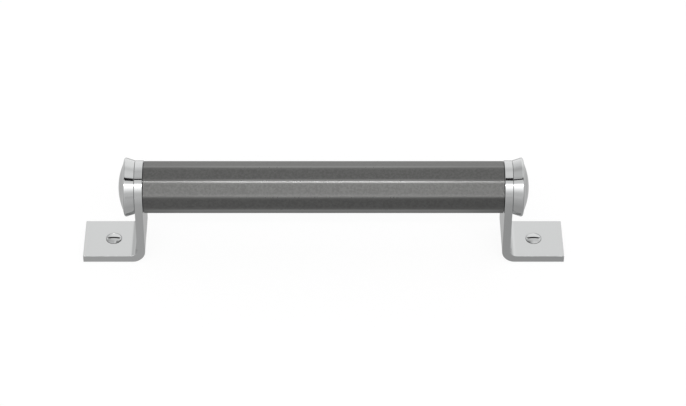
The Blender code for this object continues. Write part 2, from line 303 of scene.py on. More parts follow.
def ground_composite():
    """Cast resin full of graphite and metal powder, ground satin.

    The powder makes it answer light as a dark, dull metal. The eye gets a soft grey sheen
    with a fine mottle where the powder clumps. The arrises and the faces beside them are
    painted lighter, partly as wear and partly as painted highlight, and the crest of the upper
    front arris carries a painted highlight line, both more in the middle of the bar than at its
    ends."""
    material, tree, shader = new_material("ground_composite", {"Metallic": 1.0})
    spot = add_node(tree, "ShaderNodeTexCoord").outputs["Object"]
    on_axis = {"Vector": spot, "Location": (0, 0, -AXIS_HEIGHT)}
    centred = add_node(tree, "ShaderNodeMapping", on_axis)
    part = add_node(tree, "ShaderNodeSeparateXYZ", {"Vector": centred}).outputs
    section = add_node(tree, "ShaderNodeCombineXYZ", {"Y": part["Y"], "Z": part["Z"]})
    to_axis = add_node(tree, "ShaderNodeVectorMath", {0: section}, operation="LENGTH")

    # Clumps of powder, and its flakes, which are drawn coarser than they are so that they show
    clump = {"Vector": centred, "Scale": per_mm(CLUMP_MM), "Detail": 2.0}
    clumps = add_node(tree, "ShaderNodeTexNoise", clump)
    flake = {"Vector": centred, "Scale": per_mm(FLAKE_MM), "Detail": 1.0}
    flakes = add_node(tree, "ShaderNodeTexNoise", flake)
    coarse = calc(tree, "MULTIPLY", clumps, 0.65)
    mottle = calc(tree, "MULTIPLY_ADD", flakes, 0.35, coarse)
    shine = ease(tree, mottle, 0.36, 0.64)
    body = blend_colours(tree, shine, linear(COMPOSITE_BODY), linear(COMPOSITE_FLAKE))

    # Partly wear and partly painted highlight: what stands furthest from the axis, the arris and
    # the face beside it, is painted lighter, as rubbing and as the shine that rounded arrises
    # catch, more in the middle of the bar than at its ends
    reach = to_axis.outputs["Value"]
    beside = ease(tree, reach, ARRIS_TO_AXIS - 0.32 * MM, ARRIS_TO_AXIS - 0.04 * MM, 0.0, 0.35)
    on_arris = ease(tree, reach, ARRIS_TO_AXIS - 0.08 * MM, ARRIS_TO_AXIS, 0.0, 0.65)
    from_middle = calc(tree, "ABSOLUTE", part["X"])
    handled = ease(tree, from_middle, FADE_TO_ENDS_FROM, FADE_TO_ENDS_TO, 1.0, 0.62)
    wear_and_highlight = calc(tree, "MULTIPLY", calc(tree, "ADD", beside, on_arris), handled)
    worn = blend_colours(tree, wear_and_highlight, body, linear(COMPOSITE_WORN_AND_LIT))

    # Painted highlight: the crest of the upper front arris, the one next to the top, is painted
    # bright where it mirrors the tent's white band, fading towards the ends
    lit_arris_tilt = 2 * math.pi / GRIP_SIDES
    forwards = calc(tree, "MULTIPLY", part["Y"], -math.sin(lit_arris_tilt))
    upwards = calc(tree, "MULTIPLY", part["Z"], math.cos(lit_arris_tilt))
    towards_lit_arris = calc(tree, "ADD", forwards, upwards)
    crest = ease(tree, towards_lit_arris, ARRIS_TO_AXIS - 0.20 * MM, ARRIS_TO_AXIS - 0.02 * MM)
    highlight_to_ends = ease(tree, from_middle, FADE_TO_ENDS_FROM, FADE_TO_ENDS_TO, 1.0, 0.24)
    arris_highlight_mask = calc(tree, "MULTIPLY", crest, highlight_to_ends)
    colour = blend_colours(tree, arris_highlight_mask, worn, linear(COMPOSITE_ARRIS_HIGHLIGHT))
    satin = ease(tree, clumps, 0.3, 0.7, 0.37, 0.41)
    roughness = calc(tree, "SUBTRACT", satin, calc(tree, "MULTIPLY", wear_and_highlight, 0.10))
    depth = ease(tree, reach, ARRIS_TO_AXIS - 0.20 * MM, ARRIS_TO_AXIS - 0.08 * MM, 0.10, 0.0)
    relief = {"Height": mottle, "Strength": depth, "Distance": 0.02 * MM}
    bump = add_node(tree, "ShaderNodeBump", relief)
    wire_shader(tree, shader, colour, roughness, bump)
    return material


composite = ground_composite()
grip_sizes = {
    "Length": grip_high.x - grip_low.x + 2 * (FIT - SEAM),
    "Height": AXIS_HEIGHT,
    "Corner To Axis": CORNER_TO_AXIS,
    "Sides": GRIP_SIDES,
    "Arris Radius": ARRIS_RADIUS,
    "Arris Steps": ARRIS_STEPS,
    "End Round": GRIP_END_ROUND,
    "End Steps": GRIP_END_STEPS,
    "Material": composite,
}
grip = grow("grip", faceted_bar_tree(), grip_sizes)
holes = []
for turn in SIDES.values():
    for hole in (
        rod(INSERT_RADIUS + FIT, INSERT_BORE_END, grip_high.x + FIT, AXIS_HEIGHT),
        rod(PIN_RADIUS + FIT, pin_low.x - FIT, grip_high.x + FIT, PIN_HEIGHT),
    ):
        hole.transform(turn)
        holes.append(hole)
cut_away(grip, holes)
finish_piece(grip, composite, "grip_bar")


# Brass inserts
# A turned brass sleeve in each end of the grip, knurled outside so that the bond holds it,
# with a groove round its middle and an M5 thread inside for the stud.

stud_low, stud_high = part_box("right_stud")
STUD_RADIUS = (stud_high.z - stud_low.z) / 2
INSERT_BORE_RADIUS = STUD_RADIUS + FIT
GROOVE_WIDTH = 1.6 * MM
GROOVE_DEPTH = 0.4 * MM
KNURL_HEIGHT = 0.2 * MM
KNURL_RIDGES = 40
TURNED_STEPS = 96

BRASS = "#D5B468"
BRASS_TARNISHED = "#A98A4B"
FILM_MM = 2.5


def turned(profile, height=AXIS_HEIGHT, steps=TURNED_STEPS):
    """A bmesh turned about the X axis at this height, from (place along X, radius) points."""
    mesh = bmesh.new()
    points = [mesh.verts.new((x, 0, radius)) for x, radius in profile]
    for first, second in zip(points, points[1:]):
        mesh.edges.new((first, second))

    # A profile that starts off the axis is that of a ring, so it is closed
    if profile[0][1] > 0:
        mesh.edges.new((points[-1], points[0]))
    line = mesh.verts[:] + mesh.edges[:]
    full_turn = {"axis": (1, 0, 0), "cent": (0, 0, 0), "angle": 2 * math.pi, "steps": steps}
    bmesh.ops.spin(mesh, geom=line, use_merge=True, **full_turn)
    bmesh.ops.remove_doubles(mesh, verts=mesh.verts, dist=0.001 * MM)
    bmesh.ops.recalc_face_normals(mesh, faces=mesh.faces)
    bmesh.ops.translate(mesh, verts=mesh.verts, vec=(0, 0, height))
    return mesh


def join_pieces(obj, others):
    """Adds other objects' meshes to this one and removes those objects."""
    mesh = bmesh.new()
    for piece in (obj, *others):
        mesh.from_mesh(piece.data)
    mesh.to_mesh(obj.data)
    mesh.free()
    for piece in others:
        bpy.data.objects.remove(piece)
    return obj


def straight_knurl_tree():
    """Ridges along X, set evenly round the X axis at a height."""
    tree, given = new_shape_tree(
        "straight_knurl",
        {
            "Ridges": "Int",
            "Radius": "Float",
            "Ridge Height": "Float",
            "Length": "Float",
            "Start": "Float",
            "Height": "Float",
        },
    )
    round_axis = {"Resolution": given["Ridges"], "Radius": given["Radius"]}
    ring = add_node(tree, "GeometryNodeCurvePrimitiveCircle", round_axis)
    spots = add_node(tree, "GeometryNodeCurveToPoints", {"Curve": ring}, mode="EVALUATED")
    reach = calc(tree, "MULTIPLY", given["Ridge Height"], 2.0)
    size = add_node(tree, "ShaderNodeCombineXYZ", {"X": reach, "Y": reach, "Z": given["Length"]})
    bar = add_node(tree, "GeometryNodeMeshCube", {"Size": size})
    tipped = {"Geometry": bar, "Rotation": (0, 0, math.pi / 4)}
    on_edge = add_node(tree, "GeometryNodeTransform", tipped)
    turn = calc(tree, "DIVIDE", 2 * math.pi, given["Ridges"])
    spin = calc(tree, "MULTIPLY", add_node(tree, "GeometryNodeInputIndex"), turn)
    facing = add_node(tree, "ShaderNodeCombineXYZ", {"Z": spin})
    ridges = {"Points": spots.outputs["Points"], "Instance": on_edge, "Rotation": facing}
    knurl = add_node(tree, "GeometryNodeInstanceOnPoints", ridges)
    middle = calc(tree, "MULTIPLY_ADD", given["Length"], 0.5, given["Start"])
    place = add_node(tree, "ShaderNodeCombineXYZ", {"X": middle, "Z": given["Height"]})
    along_x = {"Geometry": knurl, "Translation": place, "Rotation": (0, math.pi / 2, 0)}
    laid = add_node(tree, "GeometryNodeTransform", along_x)
    return end_shape_tree(tree, given, laid)


def machined_metal(name, bright, dull, roughness, lathe_lines):
    """Bare or zinc-plated metal straight from the machine.

    The eye gets a soft shine drawn out across fine turning lines, a thin film that dulls it
    in patches, and bright edges where it has been handled."""
    material, tree, shader = new_material(name, {"Metallic": 1.0})
    spot = add_node(tree, "ShaderNodeTexCoord").outputs["Object"]
    part = add_node(tree, "ShaderNodeSeparateXYZ", {"Vector": spot}).outputs
    along = add_node(tree, "ShaderNodeCombineXYZ", {"X": part["X"]})
    feed = {"Vector": along, "Scale": per_mm(lathe_lines), "Detail": 2.0}
    lines = add_node(tree, "ShaderNodeTexNoise", feed)
    patches = {"Vector": spot, "Scale": per_mm(FILM_MM), "Detail": 3.0}
    film = add_node(tree, "ShaderNodeTexNoise", patches)
    worn = add_node(tree, "ShaderNodeAttribute", attribute_name="worn_edge").outputs["Fac"]
    dulled = calc(tree, "SUBTRACT", ease(tree, film, 0.4, 0.7), worn)
    dulled.use_clamp = True
    colour = blend_colours(tree, dulled, linear(bright), linear(dull))
    grain = ease(tree, lines, 0.3, 0.7, roughness - 0.06, roughness + 0.06)
    relief = {"Height": lines, "Strength": 0.2, "Distance": 0.01 * MM}
    bump = add_node(tree, "ShaderNodeBump", relief)
    wire_shader(tree, shader, colour, grain, bump)
    return material


# Free-cutting brass as it left the lathe: warm yellow, with a thin brown film in places
brass = machined_metal("machined_brass", BRASS, BRASS_TARNISHED, roughness=0.3, lathe_lines=0.15)
sleeve_radius = INSERT_RADIUS - KNURL_HEIGHT
groove_radius = INSERT_RADIUS - GROOVE_DEPTH
insert_middle = (insert_low.x + insert_high.x) / 2
groove_start = insert_middle - GROOVE_WIDTH / 2
groove_end = insert_middle + GROOVE_WIDTH / 2
sleeve_profile = [
    (insert_high.x, INSERT_BORE_RADIUS),
    (insert_high.x, sleeve_radius - KNURL_HEIGHT),
    (insert_high.x - KNURL_HEIGHT, sleeve_radius),
    (groove_end, sleeve_radius),
    (groove_end, groove_radius),
    (groove_start, groove_radius),
    (groove_start, sleeve_radius),
    (insert_low.x + KNURL_HEIGHT, sleeve_radius),
    (insert_low.x, sleeve_radius - KNURL_HEIGHT),
    (insert_low.x, INSERT_BORE_RADIUS),
]
knurl_tree = straight_knurl_tree()
for side, turn in SIDES.items():
    insert = new_piece(f"{side}_brass_insert", turned(sleeve_profile))
    knurls = []
    for start, end in ((insert_low.x, groove_start), (groove_end, insert_high.x)):
        knurl_sizes = {
            "Ridges": KNURL_RIDGES,
            "Radius": sleeve_radius,
            "Ridge Height": KNURL_HEIGHT / math.sqrt(2),
            "Length": end - start - 4 * KNURL_HEIGHT,
            "Start": start + 2 * KNURL_HEIGHT,
            "Height": AXIS_HEIGHT,
            "Material": brass,
        }
        knurls.append(grow("knurl", knurl_tree, knurl_sizes))
    join_pieces(insert, knurls)
    insert.data.transform(turn)
    finish_piece(insert, brass, f"{side}_insert")


# Studs
# A length of M5 threaded rod joins the end cap, the bracket's leg and the insert. It is zinc
# plated steel, chamfered at both ends, with a rolled thread of 0.8 mm pitch.

STUD_PITCH = 0.8 * MM
STUD_THREAD_DEPTH = 0.45 * MM
STUD_THREAD_STEPS = 24
STUD_CHAMFER = 0.4 * MM

ZINC = "#BFC1C4"
ZINC_DULL = "#8E9194"


def thread_tree():
    """A V-shaped ridge wound round the Z axis as a helix, which fades out at both ends."""
    tree, given = new_shape_tree(
        "screw_thread",
        {
            "Turns": "Float",
            "Start Radius": "Float",
            "End Radius": "Float",
            "Length": "Float",
            "Ridge": "Float",
            "Steps Per Turn": "Int",
        },
    )
    helix = {
        "Resolution": given["Steps Per Turn"],
        "Rotations": given["Turns"],
        "Start Radius": given["Start Radius"],
        "End Radius": given["End Radius"],
        "Height": given["Length"],
    }
    spiral = add_node(tree, "GeometryNodeCurveSpiral", helix)

    # The ridge rises to its full height over the first 6% of the helix, and falls likewise
    along = add_node(tree, "GeometryNodeSplineParameter").outputs["Factor"]
    from_end = calc(tree, "MINIMUM", along, calc(tree, "SUBTRACT", 1, along))
    fade = ease(tree, from_end, 0.0, 0.06, 0.05, 1.0)
    three_corners = {"Resolution": 3, "Radius": given["Ridge"]}
    vee = add_node(tree, "GeometryNodeCurvePrimitiveCircle", three_corners)
    sweep = {"Curve": spiral, "Profile Curve": vee, "Scale": fade, "Fill Caps": True}
    return end_shape_tree(tree, given, add_node(tree, "GeometryNodeCurveToMesh", sweep))


def rod_profile(start, end, radius, chamfer):
    """The outline of a rod along X with chamfered ends, for turning."""
    return [
        (end, 0),
        (end, radius - chamfer),
        (end - chamfer, radius),
        (start + chamfer, radius),
        (start, radius - chamfer),
        (start, 0),
    ]


# Steel with a thin zinc plating: pale blue-grey and fairly dull, scuffed bright on the crests
zinc = machined_metal("zinc_plated_steel", ZINC, ZINC_DULL, roughness=0.35, lathe_lines=0.2)
helix_tree = thread_tree()
stud_core = STUD_RADIUS - STUD_THREAD_DEPTH
for side, turn in SIDES.items():
    core = rod_profile(stud_low.x, stud_high.x, stud_core, STUD_CHAMFER / 2)
    stud = new_piece(f"{side}_threaded_stud", turned(core, steps=DRILL_STEPS))
    thread_length = stud_high.x - stud_low.x - 2 * STUD_CHAMFER
    thread_sizes = {
        "Turns": thread_length / STUD_PITCH,
        "Start Radius": stud_core,
        "End Radius": stud_core,
        "Length": thread_length,
        "Ridge": STUD_THREAD_DEPTH,
        "Steps Per Turn": STUD_THREAD_STEPS,
        "Material": zinc,
    }
    thread = grow("thread", helix_tree, thread_sizes)
    thread.data.transform(Matrix.Rotation(math.pi / 2, 4, "Y"))
    thread.data.transform(Matrix.Translation((stud_low.x + STUD_CHAMFER, 0, AXIS_HEIGHT)))
    join_pieces(stud, [thread])
    stud.data.transform(turn)
    finish_piece(stud, zinc, f"{side}_stud")


# Locating pins
# A hardened steel dowel, 2 mm thick, ground smooth and slightly domed at both ends. It goes
# through the leg into the grip, so that the grip can't turn on its stud.

PIN_DOME = 0.2 * MM
PIN_DOME_STEPS = 5
GROUND_STEEL = "#C9CACB"
GROUND_STEEL_DULL = "#A3A5A6"


def arc(centre, radius, start, end, steps):
    """Points on a circle from one angle to another, in degrees, both ends included."""
    points = []
    for i in range(steps + 1):
        angle = math.radians(start + (end - start) * i / steps)
        points.append((centre[0] + radius * math.cos(angle), centre[1] + radius * math.sin(angle)))
    return points


# Hardened steel from the grinder: bright and even, with very fine rings round it
ground_steel = machined_metal(
    "ground_dowel_steel", GROUND_STEEL, GROUND_STEEL_DULL, roughness=0.2, lathe_lines=0.08
)
PIN_CROWN = PIN_RADIUS - PIN_DOME
outer_corner = arc((pin_high.x - PIN_DOME, PIN_CROWN), PIN_DOME, 0, 90, PIN_DOME_STEPS)
inner_corner = arc((pin_low.x + PIN_DOME, PIN_CROWN), PIN_DOME, 90, 180, PIN_DOME_STEPS)
dowel = [(pin_high.x, 0)] + outer_corner + inner_corner + [(pin_low.x, 0)]
for side, turn in SIDES.items():
    pin = new_piece(f"{side}_dowel", turned(dowel, PIN_HEIGHT, DRILL_STEPS))
    pin.data.transform(turn)
    finish_piece(pin, ground_steel, f"{side}_locating_pin")


# Brackets
# Each is one flat strip, 20 mm by 3 mm, with its top cut to a half round and its lower end
# bent outwards to a foot. It is drilled for the stud and the pin, countersunk for the foot
# screw, eased along every edge, and buffed along its length before the chrome plating.

bracket_low, bracket_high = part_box("right_bracket")
cap_low, cap_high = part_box("right_end_cap")
screw_low, screw_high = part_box("right_foot_screw")
HALF_WIDTH = (bracket_high.y - bracket_low.y) / 2
STRIP_THICKNESS = cap_low.x - FIT - bracket_low.x
INSIDE_BEND = 2.7 * MM
OUTSIDE_BEND = 5.2 * MM
EDGE_ROUND = 0.12 * MM
EDGE_STEPS = 4
TOP_STEPS = 72
BEND_STEPS = 18
SCREW_X = (screw_low.x + screw_high.x) / 2
HEAD_RADIUS = 2.84 * MM
SHANK_RADIUS = 1.75 * MM
HEAD_LAND = 0.15 * MM
LIP_WIDTH = 0.42 * MM
LIP_DEPTH = 0.16 * MM
LIP_STEPS = 8
HEAD_FIT = 0.08 * MM
CUT_PAST = 2 * MM
HAIR = 0.003 * MM

CHROME = "#C3C4C4"
CHROME_WORN = "#C7C8C8"
HAZE_MM = 4.0


def polished_chrome(name, lay, long_grain=12.0, cross_grain=0.25, bright=CHROME):
    """Bright chrome plating over a buffed metal.

    It is a clear neutral mirror. The eye gets sharp reflections that soften a little along
    the buffing marks, a faint unevenness of the buffed metal below, and slightly brighter,
    softer edges where the buff and the hand have reached most. lay gives the pattern's cell
    along X, Y and Z from the long and the cross grain, both in millimetres."""
    material, tree, shader = new_material(name, {"Metallic": 1.0})
    spot = add_node(tree, "ShaderNodeTexCoord").outputs["Object"]
    sizes = [per_mm(long_grain if long_way else cross_grain) for long_way in lay]
    stretched = add_node(tree, "ShaderNodeMapping", {"Vector": spot, "Scale": sizes})
    buff = {"Vector": stretched, "Scale": 1.0, "Detail": 3.0}
    marks = add_node(tree, "ShaderNodeTexNoise", buff)
    unevenness = {"Vector": spot, "Scale": per_mm(HAZE_MM), "Detail": 2.0}
    haze = add_node(tree, "ShaderNodeTexNoise", unevenness)
    worn = add_node(tree, "ShaderNodeAttribute", attribute_name="worn_edge").outputs["Fac"]
    patchy = calc(tree, "MULTIPLY", worn, ease(tree, haze, 0.35, 0.65, 0.4, 1.0))
    colour = blend_colours(tree, patchy, linear(bright), linear(CHROME_WORN))
    buffed = ease(tree, marks, 0.3, 0.75, 0.035, 0.075)
    clouded = calc(tree, "MULTIPLY_ADD", haze, 0.02, buffed)
    roughness = calc(tree, "MULTIPLY_ADD", patchy, 0.06, clouded)
    fine = {"Height": marks, "Strength": 0.05, "Distance": 0.002 * MM}
    scratches = add_node(tree, "ShaderNodeBump", fine)
    broad = {"Height": haze, "Strength": 0.25, "Distance": 0.004 * MM, "Normal": scratches}
    ripple = add_node(tree, "ShaderNodeBump", broad)
    wire_shader(tree, shader, colour, roughness, ripple)
    return material


def strip_face(mesh, depth, bend):
    """One broad face of the bent strip, this deep in it. Gives the points round its rim."""
    start = bracket_low.x + depth
    path = arc((start + bend, depth + bend), bend, 180, 270, BEND_STEPS)
    path.append((bracket_high.x, depth))
    rows = []
    for x, z in path:
        rows.append([mesh.verts.new((x, side * HALF_WIDTH, z)) for side in (-1, 1)])
    for (front, back), (next_front, next_back) in zip(rows, rows[1:]):
        mesh.faces.new((front, back, next_back, next_front))
    half_round = arc((0, AXIS_HEIGHT), HALF_WIDTH, 0, 180, TOP_STEPS)
    top = [mesh.verts.new((start, y, z)) for y, z in half_round]
    mesh.faces.new([rows[0][0], rows[0][1], *top])
    return [back for front, back in reversed(rows)] + top + [front for front, back in rows]


def bent_strip(name):
    """The strip, bent and trimmed: two broad faces and the edge that joins them.

    The metal gathers a little on the inside of the bend, so that bend is the rounder one."""
    mesh = bmesh.new()
    outer = strip_face(mesh, 0, OUTSIDE_BEND)
    inner = strip_face(mesh, STRIP_THICKNESS, INSIDE_BEND)
    pairs = list(zip(outer, inner))
    for (a, b), (c, d) in zip(pairs, pairs[1:] + pairs[:1]):
        mesh.faces.new((a, b, d, c))
    bmesh.ops.recalc_face_normals(mesh, faces=mesh.faces)
    strip = new_piece(name, mesh)
    edges = strip.modifiers.new("eased edges", "BEVEL")
    edges.width = EDGE_ROUND
    edges.segments = EDGE_STEPS
    edges.limit_method = "ANGLE"
    edges.angle_limit = CREASE_ANGLE
    return strip


def countersink():
    """The drill that seats the screw head: a 90 degree cone with a short straight mouth.

    Its lip is rounded, wider than it is deep, as buffing leaves it. It stands a hair high, so
    that no edge of the cut lies exactly in the foot's top face."""
    mouth = HEAD_RADIUS + HEAD_FIT

    # The same fit all round the head's cone puts the top of the hole's cone this much lower
    cone_top = -HEAD_LAND - HEAD_FIT * math.tan(math.radians(22.5))
    round_lip = arc((-LIP_WIDTH, mouth + LIP_WIDTH), LIP_WIDTH, 360, 270, LIP_STEPS)
    lip = [(x * LIP_DEPTH / LIP_WIDTH, radius) for x, radius in round_lip]
    profile = [
        (CUT_PAST, 0),
        (CUT_PAST, mouth + LIP_WIDTH),
        *lip,
        (cone_top, mouth),
        (cone_top - (HEAD_RADIUS - SHANK_RADIUS), SHANK_RADIUS + FIT),
        (-2 * STRIP_THICKNESS, SHANK_RADIUS + FIT),
        (-2 * STRIP_THICKNESS, 0),
    ]
    mesh = turned(profile, height=0, steps=TURNED_STEPS)
    place = Matrix.Translation((SCREW_X, 0, STRIP_THICKNESS + HAIR))
    mesh.transform(place @ Matrix.Rotation(-math.pi / 2, 4, "Y"))
    return mesh


buffed_strip = polished_chrome("chrome_on_buffed_strip", lay=(True, False, True))
for side, turn in SIDES.items():
    bracket = bent_strip(f"{side}_bent_bracket")
    through = (bracket_low.x - FIT, bracket_low.x + STRIP_THICKNESS + FIT)
    stud_hole = rod(STUD_RADIUS + FIT, *through, AXIS_HEIGHT)
    pin_hole = rod(PIN_RADIUS + FIT, *through, PIN_HEIGHT)
    cut_away(bracket, [stud_hole, pin_hole, countersink()])
    bracket.data.transform(turn)
    finish_piece(bracket, buffed_strip, f"{side}_bracket")


# End caps
# Turned from bar: a short flare, a rounded rim, a narrow shoulder and a low dome. Each is
# bored and threaded for the stud, screwed up against its bracket, polished in the lathe and
# chrome plated.

CAP_RADIUS = (cap_high.z - cap_low.z) / 2
CAP_FLARE = 1.0 * MM
CAP_RIM_HEIGHT = 3.15 * MM
CAP_RIM_ROUND = 0.7 * MM
CAP_SHOULDER = 2.25 * MM
CAP_SHOULDER_RISE = 1.1 * MM
CAP_HEIGHT = cap_high.x - cap_low.x
CAP_DOME_RISE = CAP_HEIGHT - CAP_RIM_HEIGHT - CAP_SHOULDER_RISE
CAP_BORE = stud_high.x + FIT - cap_low.x
CAP_DRAWN_UP = 0.19 * MM
CAP_BASE_EASE = 0.1 * MM
CAP_STEPS = 144
CAP_DOME_STEPS = 24
CAP_RIM_STEPS = 12
CAP_BASE_STEPS = 4


def touching_angle(point, centre, radius, turn):
    """The angle, in degrees, at which a line from a point touches a circle on one side."""
    across, up = point[0] - centre[0], point[1] - centre[1]
    lean = math.acos(radius / math.hypot(across, up))
    return math.degrees(math.atan2(up, across) + turn * lean) % 360


def ball_radius(half_width, rise):
    """The radius of the ball that a dome of this half width and rise is cut from."""
    return (half_width**2 + rise**2) / (2 * rise)


def dome_outline(top, half_width, rise, steps):
    """A low dome's outline from its top, at this place along X, to its edge."""
    ball = ball_radius(half_width, rise)
    edge = math.degrees(math.asin(half_width / ball))
    return [(top, 0)] + arc((top - ball, 0), ball, 0, edge, steps)[1:]


def cap_profile():
    """The cap's outline from the middle of its dome round to the bottom of its bore."""
    dome_radius = CAP_RADIUS - CAP_SHOULDER
    dome = dome_outline(CAP_HEIGHT, dome_radius, CAP_DOME_RISE, CAP_DOME_STEPS)
    shoulder = dome[-1]
    base_radius = CAP_RADIUS - CAP_FLARE
    base = (CAP_BASE_EASE - CAP_DRAWN_UP, base_radius)
    rim_centre = (CAP_RIM_HEIGHT, CAP_RADIUS - CAP_RIM_ROUND)
    rim_start = touching_angle(shoulder, rim_centre, CAP_RIM_ROUND, 1)
    rim_end = touching_angle(base, rim_centre, CAP_RIM_ROUND, -1)
    rim = arc(rim_centre, CAP_RIM_ROUND, rim_start, rim_end, CAP_RIM_STEPS)
    corner_centre = (base[0], base_radius - CAP_BASE_EASE)
    corner = arc(corner_centre, CAP_BASE_EASE, 90, 180, CAP_BASE_STEPS)
    bore = [(-CAP_DRAWN_UP, INSERT_BORE_RADIUS), (CAP_BORE, INSERT_BORE_RADIUS), (CAP_BORE, 0)]
    return [(cap_low.x + x, radius) for x, radius in dome + rim + corner + bore]


lathe_polished = polished_chrome("chrome_on_turned_cap", lay=(False, True, True), cross_grain=0.15)
for side, turn in SIDES.items():
    cap = new_piece(f"{side}_domed_cap", turned(cap_profile(), steps=CAP_STEPS))
    cap.data.transform(turn)
    finish_piece(cap, lathe_polished, f"{side}_end_cap")


# Foot screws
# Slotted wood screws with raised countersunk heads, 3.5 mm by 12 mm, one through each foot
# into the wood. The heads are chrome plated to match, and the slot lies along the handle.

HEAD_RISE = 0.52 * MM
HEAD_DOME_STEPS = 16
SLOT_WIDTH = 0.8 * MM
SLOT_DEPTH = 0.8 * MM
SLOT_LENGTH = 5.2 * MM
SLOT_FLOOR = STRIP_THICKNESS + HEAD_RISE - SLOT_DEPTH
SLOT_EDGE = 0.01 * MM

SCREW_CHROME = "#C1C2C2"
# Painted shade on the slot's walls
SLOT_PAINTED_SHADE = "#4A4A4A"
SLOT_ROUGHNESS = 0.6
POINT_LENGTH = 3.0 * MM
WOOD_THREAD_PITCH = 1.4 * MM
WOOD_THREAD_DEPTH = 0.5 * MM
WOOD_THREAD_STEPS = 32
PLAIN_SHANK = 4.5 * MM
SCREW_LENGTH = STRIP_THICKNESS - screw_low.z


def screw_profile():
    """The screw's outline along its length, measured up from the foot's top face."""
    dome = dome_outline(HEAD_RISE, HEAD_RADIUS, HEAD_RISE, HEAD_DOME_STEPS)
    core = SHANK_RADIUS - WOOD_THREAD_DEPTH
    return dome + [
        (-HEAD_LAND, HEAD_RADIUS),
        (-HEAD_LAND - (HEAD_RADIUS - SHANK_RADIUS), SHANK_RADIUS),
        (-PLAIN_SHANK, SHANK_RADIUS),
        (-PLAIN_SHANK - WOOD_THREAD_DEPTH, core),
        (POINT_LENGTH - SCREW_LENGTH, core),
        (-SCREW_LENGTH, 0),
    ]


def slot():
    """The small round saw that sinks the slot along X, so that it runs out inside the head."""
    half = SLOT_LENGTH / 2
    ball = ball_radius(HEAD_RADIUS, HEAD_RISE)
    depth_at_end = SLOT_DEPTH - (ball - math.sqrt(ball**2 - half**2))
    saw_radius = ball_radius(half, depth_at_end)
    mesh = rod(saw_radius, -SLOT_WIDTH / 2, SLOT_WIDTH / 2, 0)
    mesh.transform(Matrix.Rotation(math.pi / 2, 4, "Z"))
    mesh.transform(Matrix.Translation((SCREW_X, 0, SLOT_FLOOR + saw_radius)))
    return mesh


def chrome_with_shaded_slot():
    """The same chrome as on the bracket, but rough on the slot's walls, where the buff doesn't
    reach, and painted dark there as painted shade in the narrow slot."""
    lay = (True, False, False)
    material = polished_chrome("chrome_on_screw_head", lay, cross_grain=0.1, bright=SCREW_CHROME)
    tree = material.node_tree
    shader = tree.nodes["Principled BSDF"]
    spot = add_node(tree, "ShaderNodeTexCoord").outputs
    part = add_node(tree, "ShaderNodeSeparateXYZ", {"Vector": spot["Object"]}).outputs
    off_middle = calc(tree, "ABSOLUTE", part["Y"])
    between = calc(tree, "LESS_THAN", off_middle, SLOT_WIDTH / 2 + SLOT_EDGE)
    above = calc(tree, "GREATER_THAN", part["Z"], SLOT_FLOOR - SLOT_EDGE)
    facing = add_node(tree, "ShaderNodeSeparateXYZ", {"Vector": spot["Normal"]}).outputs
    wall = calc(tree, "GREATER_THAN", calc(tree, "ABSOLUTE", facing["Y"]), 0.7)
    in_slot = calc(tree, "MULTIPLY", calc(tree, "MULTIPLY", between, above), wall)
    plating = shader.inputs["Base Color"].links[0].from_socket
    buffed = shader.inputs["Roughness"].links[0].from_socket
    # Painted shade: the slot's walls are painted dark
    colour = blend_colours(tree, in_slot, plating, linear(SLOT_PAINTED_SHADE))

    # Inputs 2 and 3 of the Mix node are its two plain numbers
    rough_walls = {"Factor": in_slot, 2: buffed, 3: SLOT_ROUGHNESS}
    roughness = add_node(tree, "ShaderNodeMix", rough_walls)
    tree.links.new(colour, shader.inputs["Base Color"])
    tree.links.new(roughness.outputs[0], shader.inputs["Roughness"])
    return material


screw_chrome = chrome_with_shaded_slot()
upright = Matrix.Translation((SCREW_X, 0, STRIP_THICKNESS)) @ Matrix.Rotation(-math.pi / 2, 4, "Y")
for side, turn in SIDES.items():
    blank = turned(screw_profile(), height=0)
    blank.transform(upright)
    screw = new_piece(f"{side}_wood_screw", blank)
    cut_away(screw, [slot()])
    thread_length = SCREW_LENGTH - PLAIN_SHANK - POINT_LENGTH / 2
    thread_sizes = {
        "Turns": thread_length / WOOD_THREAD_PITCH,
        "Start Radius": 0.5 * (SHANK_RADIUS - WOOD_THREAD_DEPTH),
        "End Radius": SHANK_RADIUS - WOOD_THREAD_DEPTH,
        "Length": thread_length,
        "Ridge": WOOD_THREAD_DEPTH,
        "Steps Per Turn": WOOD_THREAD_STEPS,
        "Material": screw_chrome,
    }
    thread = grow("thread", helix_tree, thread_sizes)
    thread.data.transform(Matrix.Translation((SCREW_X, 0, screw_low.z + POINT_LENGTH / 2)))
    join_pieces(screw, [thread])
    screw.data.transform(turn)
    finish_piece(screw, screw_chrome, f"{side}_foot_screw")


# Studio floor
# A pale matt board, lit by the studio and lifted to white where the camera, the metal or
# glass looks at it, with the object's soft shadow kept. It stands for what the handle is
# screwed to. A grey card lies on it, which only the polished metal sees: a painted
# reflection of the floor, darkest near and under the handle as the handle's painted shadow.

FLOOR_HALF = 3.0
FLOOR_DROP = 0.05 * MM
FLOOR_WHITE = 1.0
FLOOR_ANSWER = 0.10
CARD_LIFT = 0.25 * MM

# Tones of the card as the metal mirrors it, a painted reflection. In front of the handle they
# fall from the far tone to the near one, times a share that changes from the left to the right,
# so that painted shadow lies near the handle and painted light on the left; the tones behind
# and under the handle are painted shadow too.
CARD_SHADE_NEAR = 0.545
CARD_FAR = 0.76
CARD_FALL = 0.0076
CARD_SHARES = (1.04, 0.89)
CARD_SHADE_BEHIND = 0.505
CARD_BEYOND = 0.60
CARD_FAR_BACK = 1.24
CARD_SHADE_UNDER = 0.65

